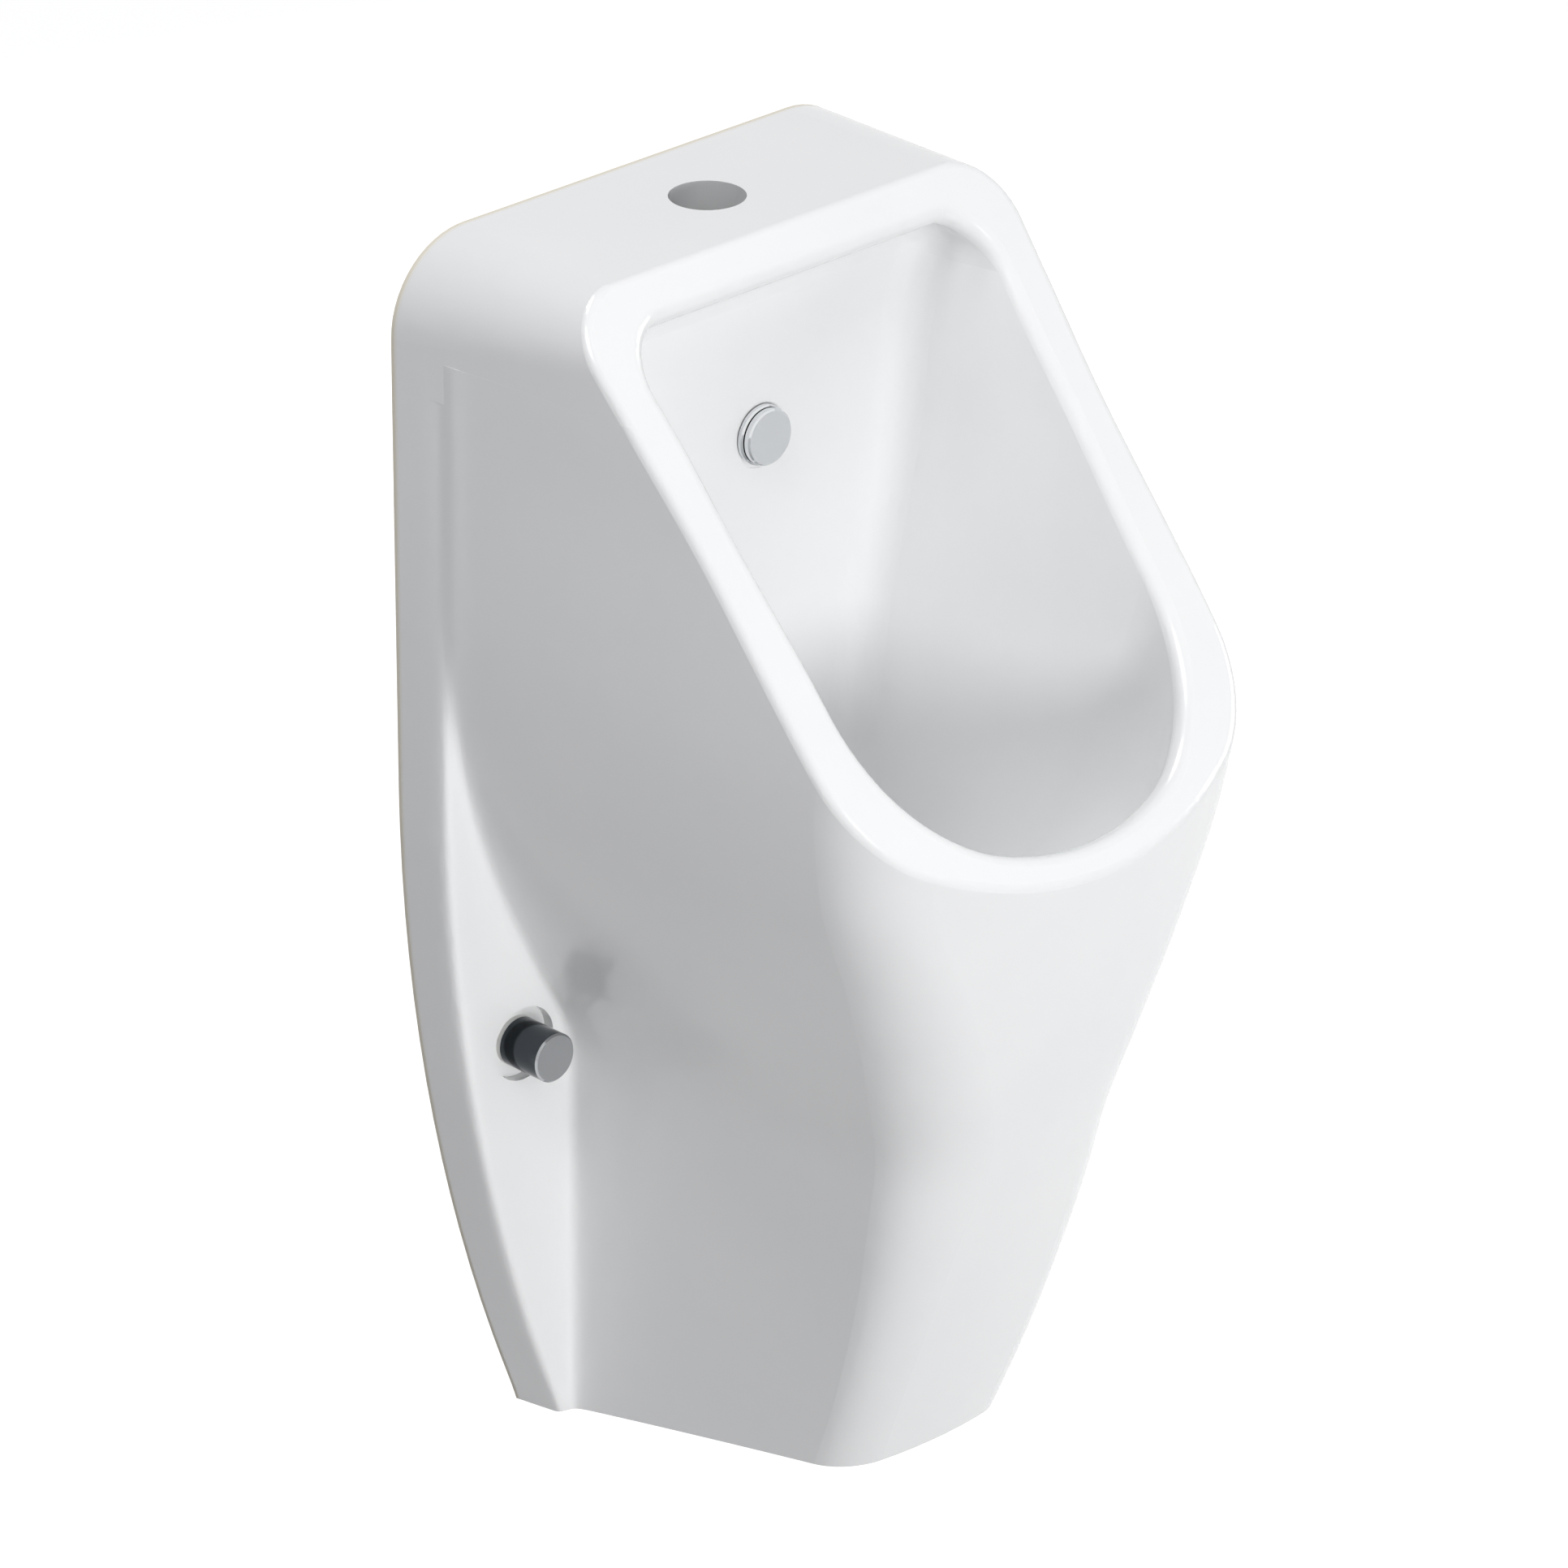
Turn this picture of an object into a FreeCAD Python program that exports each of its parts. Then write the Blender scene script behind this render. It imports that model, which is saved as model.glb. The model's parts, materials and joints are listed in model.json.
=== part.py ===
import FreeCAD, Part
import math
import os
from FreeCAD import Vector

# Wall-hung urinal in hollow-cast vitreous china, with inlet spreader, waste, bottle trap and fixings.
# Millimetres, +Z up, wall plane y = 0, front towards -Y. Heights are measured here from the flange's
# lower edge at the wall. On export the origin moves to the middle of the two fixings, on the wall.

# Outer form of the china
overall_width = 300.0
overall_height = 630.0
shelf_depth = 104.0
lip_depth = 324.0
nose_depth = 213.0
front_bulge = 10.0
front_crown_radius = 215.0
rim_angle = 40.6
bottom_rise_angle = 8.5
top_corner_wall_radius = 46.0
top_corner_rim_radius = 33.0

# Flange against the wall, with a ledge on each side
flange_thickness = 33.0
flange_bottom_width = 158.0
flange_straight_height = 358.0
flange_edge_radius = 9.0
ledge_fillet_radius = 12.0
shoulder_height = 460.0
flank_radius = 400.0
trunk_width = 145.0
crease_softness = 9.0
ledge_fade_width = 8.0
section_margin = 24.0
top_block_drop = 50.0
top_block_lap = 20.0
top_block_step = 0.05
outer_section_count = 29
hollow_section_count = 14

# Stations of the outer form: share of the height, then the taper of the body sides, the corner radius as
# a share of the half width, and the taper of the flange sides
outer_station_shares = (
    (-0.040, 0.150, 0.173, 0.020),
    (0.095, 0.083, 0.173, 0.020),
    (0.206, 0.047, 0.200, 0.020),
    (0.302, 0.026, 0.253, 0.020),
    (0.381, 0.049, 0.307, 0.020),
    (0.444, 0.082, 0.333, 0.020),
    (0.508, 0.092, 0.347, 0.020),
    (0.590, 0.074, 0.353, 0.030),
    (0.667, 0.073, 0.387, 0.050),
    (0.746, 0.080, 0.400, 0.075),
    (0.865, 0.100, 0.400, 0.100),
    (1.040, 0.100, 0.400, 0.100),
)

# China walls
china_wall = 12.0
ledge_wall = 14.0
wall_land = 15.0
rim_solid_depth = 20.0
hollow_step = 1.5
rim_outer_radius = 5.0
rim_inner_radius = 7.0
rounding_shares = (1.0, 1.1, 0.9, 0.8, 0.6)

# Bowl
bowl_back_depth = 90.5
bowl_floor_height = 296.0
bowl_ceiling_drop = 24.0
bowl_side_inset = 46.0
bowl_rear_radius = 20.0
bowl_ceiling_radius = 18.0
bowl_crown_radius = 155.0
bowl_nose_depth = 308.0

# Stations of the bowl: share of its height, then rear half width, front half width and corner radius as
# shares of its half width, then back depth and nose depth as shares of theirs
bowl_station_shares = (
    (0.000, 0.330, 0.430, 0.340, 1.400, 0.680),
    (0.006, 0.385, 0.520, 0.410, 1.310, 0.730),
    (0.025, 0.430, 0.620, 0.480, 1.210, 0.795),
    (0.070, 0.490, 0.760, 0.560, 1.090, 0.875),
    (0.150, 0.545, 0.920, 0.620, 1.020, 0.945),
    (0.240, 0.590, 1.030, 0.640, 1.000, 0.985),
    (0.340, 0.630, 1.095, 0.620, 1.000, 1.010),
    (0.500, 0.730, 1.120, 0.580, 1.000, 1.042),
    (0.700, 0.855, 1.245, 0.560, 1.000, 1.081),
    (0.880, 0.950, 1.370, 0.560, 1.000, 1.104),
    (1.000, 1.000, 1.460, 0.560, 1.000, 1.120),
)

# Water inlet in the top shelf
inlet_depth = 55.0
inlet_radius = 18.5
inlet_hole_length = 20.0
inlet_socket_radius = 20.0
inlet_socket_length = 16.0
inlet_boss_radius = 30.0

# Inlet gland and feed pipe
gland_bore_depth = 12.0
gland_flange_radius = 21.0
gland_flange_thickness = 4.0
feed_pipe_radius = 12.5
feed_pipe_wall = 2.0
elbow_radius = 15.0
elbow_socket_length = 22.0
elbow_pipe_stop = 14.0
elbow_arm_radius = 14.0

# Spreader in the bowl's back wall
spreader_drop = 110.0
spreader_hole_radius = 11.0
spreader_seat_radius = 17.0
spreader_seat_cut = 0.2
spreader_tail_radius = 10.4
spreader_tail_bore = 7.5
spreader_tail_length = 26.0
spreader_ring_radius = 15.0
spreader_ring_thickness = 2.6
spreader_seal_radius = 14.0
spreader_seal_thickness = 1.0
spreader_slot = 0.7
spreader_disc_radius = 14.0
spreader_disc_thickness = 3.2
spreader_edge_chamfer = 0.8
spreader_stem_radius = 3.0
spreader_hub_radius = 5.0
spreader_hub_length = 6.0
spreader_hub_inset = 2.0
spreader_shoulder_radius = 4.2
spreader_rib_thickness = 1.6
spreader_rib_count = 3
spreader_washer_radius = 14.0
spreader_washer_thickness = 1.5
spreader_nut_flats = 27.0
spreader_nut_thickness = 4.5

# Fixings through the ledges
fixing_inset = 48.0
fixing_height = 214.5
fixing_recess_radius = 19.0
fixing_recess_depth = 6.0
fixing_hole_radius = 9.0
fixing_boss_radius = 26.0
bush_collar_thickness = 2.5
bush_spigot_radius = 10.6
bush_spigot_length = 4.5
bush_wall_gap = 3.0
bolt_radius = 4.85
bolt_wall_radius = 5.0
bolt_wall_length = 26.0
bolt_tip_length = 6.0
bolt_tip_radius = 1.5
bolt_spare_length = 4.0
fixing_washer_radius = 9.5
fixing_washer_thickness = 1.6
fixing_nut_flats = 16.0
fixing_nut_thickness = 8.0
cap_length = 25.5
cap_wall = 1.6
cap_end_wall = 2.0
cap_seat_gap = 0.3
cap_chamfer = 0.9

# Waste in the bowl's floor
waste_depth = 166.0
waste_hole_radius = 24.0
waste_recess_radius = 35.0
waste_recess_depth = 3.0
waste_recess_rise = 6.0
waste_flange_radius = 34.0
waste_flange_thickness = 2.5
waste_tail_radius = 20.9
waste_tail_bore = 17.5
waste_tail_length = 44.0
waste_seal_thickness = 1.5
waste_upper_seal_radius = 33.0
waste_lower_seal_radius = 32.0
waste_lower_seal_thickness = 3.0
waste_nut_flats = 58.0
waste_nut_thickness = 10.0
strainer_radius = 27.0
strainer_seat_depth = 1.2
strainer_thickness = 1.0
strainer_dome_radius = 21.0
strainer_dome_height = 7.0
strainer_hole_radius = 2.6
strainer_ring_counts = (6, 12)
strainer_ring_radius_shares = (0.36, 0.74)

# Bottle trap
trap_inlet_seal_thickness = 1.5
trap_collar_radius = 24.0
trap_collar_thickness = 5.0
trap_neck_radius = 20.0
trap_neck_length = 12.0
trap_nut_radius = 30.0
trap_nut_upper_length = 12.0
trap_nut_lip = 4.0
trap_nut_rib_count = 10
trap_nut_rib_radius = 2.0
dip_tube_radius = 16.5
dip_tube_wall = 2.0
dip_tube_length = 116.0
dip_flange_radius = 22.0
dip_flange_thickness = 2.0
bottle_radius = 42.0
bottle_wall = 3.0
bottle_length = 78.0
bottle_shoulder = 6.0
cup_wall = 3.0
cup_skirt_length = 14.0
cup_depth = 50.0
cup_bottom_radius = 12.0
cup_seal_thickness = 2.0
cup_rib_count = 16
cup_rib_radius = 1.6
branch_drop = 34.0
branch_radius = 29.0
branch_length = 22.0
outlet_radius = 25.0
outlet_pipe_wall = 2.0
outlet_step = 1.0
outlet_wall_length = 45.0
outlet_insert = 14.0
outlet_nut_radius = 35.0
outlet_nut_length = 18.0
outlet_nut_lip = 4.0
outlet_seal_thickness = 5.0
outlet_nut_rib_count = 12
outlet_nut_rib_radius = 2.0

# Shared clearances and helpers
fit_clearance = 0.3
thread_clearance = 0.3
overrun = 40.0
same_place = 0.05
rim_edge_samples = 7

half_width = overall_width / 2
flange_inset = half_width - flange_bottom_width / 2
flange_flank_radius = (flange_inset ** 2 + flange_straight_height ** 2) / (2 * flange_inset)
bowl_half_width = half_width - bowl_side_inset
rim_slope = math.tan(math.radians(rim_angle))
rise_slope = math.tan(math.radians(bottom_rise_angle))
lip_height = overall_height - (lip_depth - shelf_depth) / rim_slope
nose_height = nose_depth * rise_slope
ledge_depth = flange_thickness
recess_floor_depth = ledge_depth - fixing_recess_depth
top_block_height = overall_height - top_block_drop
bowl_ceiling_height = overall_height - bowl_ceiling_drop
gland_flange_top = overall_height - inlet_hole_length - inlet_socket_length
spreader_height = overall_height - spreader_drop
spreader_seat_depth = bowl_back_depth - spreader_seat_cut
spreader_wall_depth = bowl_back_depth - china_wall + spreader_seat_cut
spreader_ring_back = spreader_seat_depth + spreader_seal_thickness
spreader_ring_front = spreader_ring_back + spreader_ring_thickness
spreader_hub_front = spreader_ring_front - spreader_hub_inset
spreader_tail_end = spreader_ring_back - spreader_tail_length
spreader_washer_back = spreader_wall_depth - spreader_washer_thickness
spreader_nut_back = spreader_washer_back - spreader_nut_thickness
fixing_spacing = overall_width - 2 * fixing_inset
cap_inner_radius = bush_spigot_radius + fit_clearance
cap_outer_radius = cap_inner_radius + cap_wall
spigot_end_depth = recess_floor_depth + bush_collar_thickness + bush_spigot_length
bolt_end_depth = spigot_end_depth + fixing_washer_thickness + fixing_nut_thickness + bolt_spare_length
waste_recess_floor = bowl_floor_height - waste_recess_depth
waste_flange_bottom = waste_recess_floor + waste_seal_thickness
waste_seal_bottom = bowl_floor_height - china_wall - waste_lower_seal_thickness
waste_nut_bottom = waste_seal_bottom - waste_nut_thickness
waste_tail_end = waste_flange_bottom - waste_tail_length
dip_flange_bottom = waste_tail_end - trap_inlet_seal_thickness - dip_flange_thickness
trap_collar_bottom = dip_flange_bottom - trap_collar_thickness
bottle_top = trap_collar_bottom - trap_neck_length
cup_shoulder = bottle_top - bottle_length - cup_seal_thickness
branch_height = bottle_top - branch_drop
branch_end_depth = waste_depth - bottle_radius - branch_length
outlet_pipe_radius = outlet_radius - outlet_step
outlet_bore = outlet_pipe_radius - outlet_pipe_wall
diagonal = math.sqrt(0.5)
x_axis = Vector(1, 0, 0)
outward = Vector(0, -1, 0)
inward = Vector(0, 1, 0)
up = Vector(0, 0, 1)
down = Vector(0, 0, -1)


def at(x, depth, height):
    return Vector(x, -depth, height)


def line(a, b):
    return Part.LineSegment(a, b).toShape()


def arc(a, b, c):
    return Part.Arc(a, b, c).toShape()


def mirrored(point):
    return Vector(-point.x, point.y, point.z)


def mirrored_edges(edges):
    # The same edges on the other side of the part, in the order that carries a wire on.
    return [edge.mirror(Vector(0, 0, 0), x_axis) for edge in reversed(edges)]


def turned(profile, base, direction):
    # Solid of revolution: profile is (radius, distance along the direction) pairs.
    side = up if abs(direction.z) < 1 else x_axis
    points = [base + direction * along + side * radius for radius, along in profile]
    face = Part.Face(Part.makePolygon(points + points[:1]))
    return face.revolve(base, direction, 360)


def tube(outer, inner, length, base, direction):
    body = Part.makeCylinder(outer, length, base, direction)
    bore = Part.makeCylinder(inner, length + 2 * overrun, base - direction * overrun, direction)
    return body.cut(bore)


def hex_nut(flats, thickness, bore, base, direction):
    corner = flats / math.sqrt(3)
    side = x_axis
    other = direction.cross(side)
    points = []
    for step in range(6):
        angle = math.radians(60 * step)
        points.append(base + side * (corner * math.cos(angle)) + other * (corner * math.sin(angle)))
    prism = Part.Face(Part.makePolygon(points + points[:1])).extrude(direction * thickness)
    chamfer = corner - flats / 2
    cone = turned(
        ((0, 0), (flats / 2, 0), (corner, chamfer), (corner, thickness - chamfer),
         (flats / 2, thickness), (0, thickness)), base, direction)
    hole = Part.makeCylinder(bore, thickness + 2 * overrun, base - direction * overrun, direction)
    return prism.common(cone).cut(hole)


def around(shape, base, direction, count):
    # The same solid, turned in equal steps about an axis.
    copies = []
    for step in range(count):
        copy = shape.copy()
        copy.rotate(base, direction, 360 * step / count)
        copies.append(copy)
    return copies


# Outer form of the china

def flange_half_width(height):
    # Straight sides, then one arc that draws the flange in to its lower edge.
    drop = min(max(flange_straight_height - height, 0), flange_straight_height)
    reach = math.sqrt(flange_flank_radius ** 2 - drop ** 2)
    return half_width - flange_flank_radius + reach


def body_half_width(height):
    # Bowl flank, an arc below the shoulder, that turns into the upright trunk in a soft crease.
    drop = min(max(shoulder_height - height, 0), flank_radius)
    flank = half_width - flank_radius + math.sqrt(flank_radius ** 2 - drop ** 2)
    trunk = trunk_width / 2
    return trunk + crease_softness * math.log1p(math.exp((flank - trunk) / crease_softness))


def front_depth(height):
    # Front profile: one shallow arc through the nose and the rim lip.
    chord = math.hypot(lip_depth - nose_depth, lip_height - nose_height)
    radius = (chord ** 2 / 4 + front_bulge ** 2) / (2 * front_bulge)
    tilt = math.atan2(lip_depth - nose_depth, lip_height - nose_height)
    centre_depth = (lip_depth + nose_depth) / 2 - (radius - front_bulge) * math.cos(tilt)
    centre_height = (lip_height + nose_height) / 2 + (radius - front_bulge) * math.sin(tilt)
    return centre_depth + math.sqrt(radius ** 2 - (height - centre_height) ** 2)


def front_points(side, nose, corner, crown, depth, height):
    # Corner arc tangent to a side line (two plan points) and to the crowned front.
    start = Vector(side[0], -side[1], 0)
    along = (Vector(nose, -depth, 0) - start).normalize()
    inner = Vector(along.y, -along.x, 0)
    crown_centre = Vector(0, crown - depth, 0)
    offset = start + inner * corner - crown_centre
    half_b = offset.dot(along)
    reach = math.sqrt(half_b ** 2 - offset.dot(offset) + (crown - corner) ** 2) - half_b
    centre = crown_centre + offset + along * reach
    outer = (centre - crown_centre).normalize()
    middle = (outer - inner).normalize()
    lift = Vector(0, 0, height)
    return [centre + towards * corner + lift for towards in (inner.negative(), middle, outer)]


def side_curve(flange, draft, body, end, height):
    # Flange side, rounded flange edge, flat ledge, fillet and body side as one smooth curve. The ledge
    # fades to a straight side where it runs out.
    width = max(flange - draft * flange_thickness - body, 0)
    fade = math.exp(-width / ledge_fade_width)
    edge = flange_edge_radius
    fillet = ledge_fillet_radius
    edge_run = min(edge, width / 3)
    fillet_run = min(fillet, width / 3)
    flange_foot = flange - draft * flange_thickness
    slope = (end.x - body) / (-end.y - ledge_depth)

    def on_flange(depth):
        return at(flange - draft * depth, depth, height)

    def on_body(depth):
        return at(body + slope * (depth - ledge_depth), depth, height)

    poles = [
        on_flange(-overrun),
        on_flange(-overrun / 2),
        on_flange(0),
        on_flange(ledge_depth - 2 * edge),
        on_flange(ledge_depth - edge),
        at(flange_foot, ledge_depth - fade * edge / 2, height),
        at(flange_foot - edge_run, ledge_depth - fade * edge / 6, height),
        at(body + fillet_run, ledge_depth + fade * fillet / 6, height),
        at(body, ledge_depth + fade * fillet / 2, height),
        on_body(ledge_depth + fillet),
        on_body(ledge_depth + 2 * fillet),
        on_body(-end.y / 2),
        on_body(-end.y * 3 / 4),
        end,
    ]
    degree = 3
    spans = len(poles) - degree
    multiplicities = [degree + 1] + [1] * (spans - 1) + [degree + 1]
    curve = Part.BSplineCurve()
    curve.buildFromPolesMultsKnots(poles, multiplicities, list(range(spans + 1)), False, degree)
    return curve.toShape()


def closed_wire(right, bend_end, depth, back):
    # Right-hand edges from the back to the front corner, the crowned front, and the same edges mirrored.
    front = arc(bend_end, at(0, depth, bend_end.z), mirrored(bend_end))
    return Part.Wire(right + [front] + mirrored_edges(right) + [line(mirrored(back), back)])


def station_slope(stations, index, column):
    # Slope of a column at a station: harmonic mean of the slopes on both sides, or zero at a turn.
    slopes = []
    for low, high in ((index - 1, index), (index, index + 1)):
        if low >= 0 and high < len(stations):
            rise = stations[high][column] - stations[low][column]
            slopes.append(rise / (stations[high][0] - stations[low][0]))
    if len(slopes) < 2:
        return slopes[0]
    product = slopes[0] * slopes[1]
    return 2 * product / (slopes[0] + slopes[1]) if product > 0 else 0


def station_values(stations, share):
    # Values between the stations, on smooth curves that don't overshoot.
    inner = [row for row in stations[1:-1] if row[0] <= share]
    index = len(inner)
    start = stations[index]
    end = stations[index + 1]
    span = end[0] - start[0]
    t = (share - start[0]) / span
    values = []
    for column in range(1, len(start)):
        rise = end[column] - start[column]
        leave = station_slope(stations, index, column) * span
        arrive = station_slope(stations, index + 1, column) * span
        bend = (3 * rise - 2 * leave - arrive) * t ** 2 + (leave + arrive - 2 * rise) * t ** 3
        values.append(start[column] + leave * t + bend)
    return values


def outer_plan(height, wall):
    # Half width at the ledge, front depth, nose half width, corner radius and flange taper, less a wall.
    taper, corner_share, draft = station_values(outer_station_shares, height / overall_height)
    body = min(body_half_width(height), flange_half_width(height)) - draft * flange_thickness - wall
    depth = front_depth(height) - wall
    nose = body - taper * (depth - ledge_depth)
    return body, depth, nose, corner_share * half_width - wall / 2, draft


def outer_section(height):
    body, depth, nose, corner, draft = outer_plan(height, 0)
    flange = flange_half_width(height)
    bends = front_points((body, ledge_depth), nose, corner, front_crown_radius, depth, height)
    side = side_curve(flange, draft, body, bends[0], height)
    return closed_wire([side, arc(*bends)], bends[2], depth, side.valueAt(side.FirstParameter))


def section_heights(low, high, count):
    return [low + (high - low) * step / (count - 1) for step in range(count)]


def half_space(origin, normal):
    # Large block on the side that the normal points to.
    size = 4 * overall_height
    block = Part.makeBox(size, size, size, Vector(-size / 2, -size / 2, 0))
    block.Placement = FreeCAD.Placement(origin, FreeCAD.Rotation(up, normal))
    return block


def rim_normal():
    angle = math.radians(rim_angle)
    return Vector(0, -math.cos(angle), math.sin(angle))


def top_profile(depth, inset, lowered, low):
    # Rounded top in a plane parallel to the wall; the corner radius shrinks towards the rim.
    shrink = (top_corner_wall_radius - top_corner_rim_radius) / shelf_depth
    radius = top_corner_wall_radius - shrink * depth - inset
    width = half_width - outer_station_shares[-1][3] * depth - inset
    top = overall_height - lowered
    turn = radius * (1 - diagonal)
    foot = at(width, depth, low)
    side = at(width, depth, top - radius)
    middle = at(width - turn, depth, top - turn)
    crest = at(width - radius, depth, top)
    right = [line(foot, side), arc(side, middle, crest)]
    top_edge = line(crest, mirrored(crest))
    return Part.Wire(right + [top_edge] + mirrored_edges(right) + [line(mirrored(foot), foot)])


def top_block(inset, lowered):
    depths = (-overrun, shelf_depth + 2 * overrun)
    low = top_block_height - top_block_lap
    return Part.makeLoft([top_profile(depth, inset, lowered, low) for depth in depths], True, True)


def rim_half_space(setback):
    # Everything in front of a plane parallel to the rim, at a distance behind it.
    return half_space(at(0, shelf_depth, overall_height) - rim_normal() * setback, rim_normal())


def behind_rim(shape):
    # The part of a shape between the wall and the rim plane.
    return shape.cut(half_space(Vector(0, 0, 0), inward)).cut(rim_half_space(0))


def rim_edges(body):
    # Edges that lie in the rim plane.
    origin = at(0, shelf_depth, overall_height)
    edges = []
    for edge in body.Edges:
        points = edge.discretize(rim_edge_samples)
        if max(abs((point - origin).dot(rim_normal())) for point in points) < same_place:
            edges.append(edge)
    return edges


def rounded(body, edges, radius):
    # Rounded edges, with the nearest radius that gives a sound solid.
    for share in rounding_shares:
        try:
            result = body.makeFillet(radius * share, edges)
        except Part.OCCError:
            continue
        if result.isValid():
            return result
    raise ValueError("no rounding of about %g mm fits" % radius)


def rounded_rim(body):
    # Rounds the rim edge, but not the ends where the two halves of the body overlap.
    edges = []
    for edge in rim_edges(body):
        if edge.BoundBox.ZLength > same_place or edge.CenterOfMass.z > top_block_height:
            edges.append(edge)
    return rounded(body, edges, rim_outer_radius)


def outer_body():
    # Lofted body and a rounded top block that overlap just below the top corners.
    heights = section_heights(-section_margin, top_block_height, outer_section_count)
    body = rounded_rim(behind_rim(Part.makeLoft([outer_section(height) for height in heights], True)))
    body = body.fuse(rounded_rim(behind_rim(top_block(top_block_step, 0)))).removeSplitter()
    return body.cut(half_space(Vector(0, 0, 0), Vector(0, -rise_slope, -1)))


# Bowl, hollow inside and holes of the china

def bowl_section(share, grow):
    values = station_values(bowl_station_shares, share)
    low = bowl_floor_height - grow
    height = low + share * (bowl_ceiling_height + 2 * grow - low)
    rear, nose, corner = [value * bowl_half_width + grow for value in values[:3]]
    back = values[3] * bowl_back_depth - grow
    depth = values[4] * bowl_nose_depth + grow
    radius = bowl_rear_radius + grow
    tilt = math.atan2(nose - rear, depth - back)
    half_turn = math.pi / 4 - tilt / 2
    reach = radius * math.tan(half_turn)
    start = at(rear - reach, back, height)
    end = at(rear + reach * math.sin(tilt), back + reach * math.cos(tilt), height)
    middle = start + at(radius * math.sin(half_turn), radius * (1 - math.cos(half_turn)), 0)
    bends = front_points((rear, back), nose, corner, bowl_crown_radius + grow, depth, height)
    right = [arc(start, middle, end), line(end, bends[0]), arc(*bends)]
    return closed_wire(right, bends[2], depth, start)


def bowl(grow):
    shares = [row[0] for row in bowl_station_shares]
    solid = Part.makeLoft([bowl_section(share, grow) for share in shares], True)
    return solid.cut(rim_half_space(-overrun))


def bowl_cutter():
    # The bowl with a rounded edge along its ceiling.
    solid = bowl(0)
    ceiling = max(solid.Faces, key=lambda face: face.CenterOfMass.z)
    front = min(edge.CenterOfMass.y for edge in ceiling.Edges)
    edges = [edge for edge in ceiling.Edges if edge.CenterOfMass.y > front + same_place]
    return rounded(solid, edges, bowl_ceiling_radius)


def hollow_section(height):
    body, depth, nose, corner, _ = outer_plan(height, china_wall)
    crown = front_crown_radius - china_wall
    bends = front_points((body, ledge_depth), nose, corner, crown, depth, height)
    slope = (nose - body) / (depth - ledge_depth)
    back = at(body - slope * (ledge_depth + overrun), -overrun, height)
    return closed_wire([line(back, bends[0]), arc(*bends)], bends[2], depth, back)


def fixing_places():
    return [at(side * fixing_spacing / 2, 0, fixing_height) for side in (-1, 1)]


def kept_bosses():
    bosses = [Part.makeCylinder(fixing_boss_radius, overall_height, place + inward * overrun, outward)
              for place in fixing_places()]
    socket = at(0, inlet_depth, gland_flange_top)
    bosses.append(Part.makeCylinder(inlet_boss_radius, overall_height, socket, up))
    return bosses


def body_hollow():
    # Space behind the bowl and in the trunk, open to the wall and below.
    heights = section_heights(-section_margin, top_block_height, hollow_section_count)
    hollow = Part.makeLoft([hollow_section(height) for height in heights], True)
    hollow = hollow.fuse(top_block(china_wall + hollow_step, china_wall))
    hollow = hollow.cut(rim_half_space(rim_solid_depth))
    for kept in [bowl(china_wall)] + kept_bosses():
        hollow = hollow.cut(kept)
    return hollow


def flange_pocket():
    # Flat hollow in the back of the flange, inside a land that bears on the wall.
    side = half_width - wall_land
    corner = top_corner_wall_radius - wall_land
    top = overall_height - wall_land

    def flank(height):
        drop = flange_straight_height - height
        reach = math.sqrt((flange_flank_radius - wall_land) ** 2 - drop ** 2)
        return at(half_width - flange_flank_radius + reach, -overrun, height)

    low = flank(wall_land)
    start = at(side, -overrun, flange_straight_height)
    turn = at(side, -overrun, top - corner)
    inset = corner * (1 - diagonal)
    middle = at(side - inset, -overrun, top - inset)
    end = at(side - corner, -overrun, top)
    waist = flank(flange_straight_height / 2)
    right = [arc(low, waist, start), line(start, turn), arc(turn, middle, end)]
    top_edge = line(end, mirrored(end))
    wire = Part.Wire(right + [top_edge] + mirrored_edges(right) + [line(mirrored(low), low)])
    pocket = Part.Face(wire).extrude(outward * (overrun + flange_thickness - ledge_wall))
    return pocket.cut(kept_bosses())


def china_holes():
    socket = at(0, inlet_depth, gland_flange_top)
    inlet = [
        Part.makeCylinder(inlet_radius, overall_height, socket, up),
        Part.makeCylinder(inlet_socket_radius, inlet_socket_length, socket, up),
    ]
    spot = at(0, 0, spreader_height)
    spreader = [
        Part.makeCylinder(spreader_hole_radius, bowl_back_depth + overrun, spot, outward),
        Part.makeCylinder(spreader_seat_radius, overrun, spot + outward * spreader_seat_depth, outward),
        Part.makeCylinder(spreader_seat_radius, spreader_wall_depth, spot, outward),
    ]
    floor = at(0, waste_depth, waste_recess_floor)
    waste = [
        Part.makeCylinder(waste_recess_radius, waste_recess_depth + waste_recess_rise, floor, up),
        Part.makeCylinder(waste_hole_radius, 2 * china_wall, floor + up * china_wall, down),
    ]
    fixings = []
    for place in fixing_places():
        hole = place + inward * overrun
        fixings.append(Part.makeCylinder(fixing_hole_radius, 2 * overrun, hole, outward))
        recess = place + outward * recess_floor_depth
        fixings.append(Part.makeCylinder(fixing_recess_radius, overrun, recess, outward))
    return inlet + spreader + waste + fixings


def nearest(edge, others):
    return min(edge.CenterOfMass.distanceToPoint(other.CenterOfMass) for other in others)


def ceramic_body():
    body = outer_body()
    lip = rim_edges(body)
    body = body.cut(bowl_cutter())
    mouth = [edge for edge in rim_edges(body) if nearest(edge, lip) > same_place]
    body = rounded(body, mouth, rim_inner_radius)
    body = body.cut(body_hollow())
    body = body.cut(flange_pocket())
    return body.cut(china_holes())


# Water inlet and spreader

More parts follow.
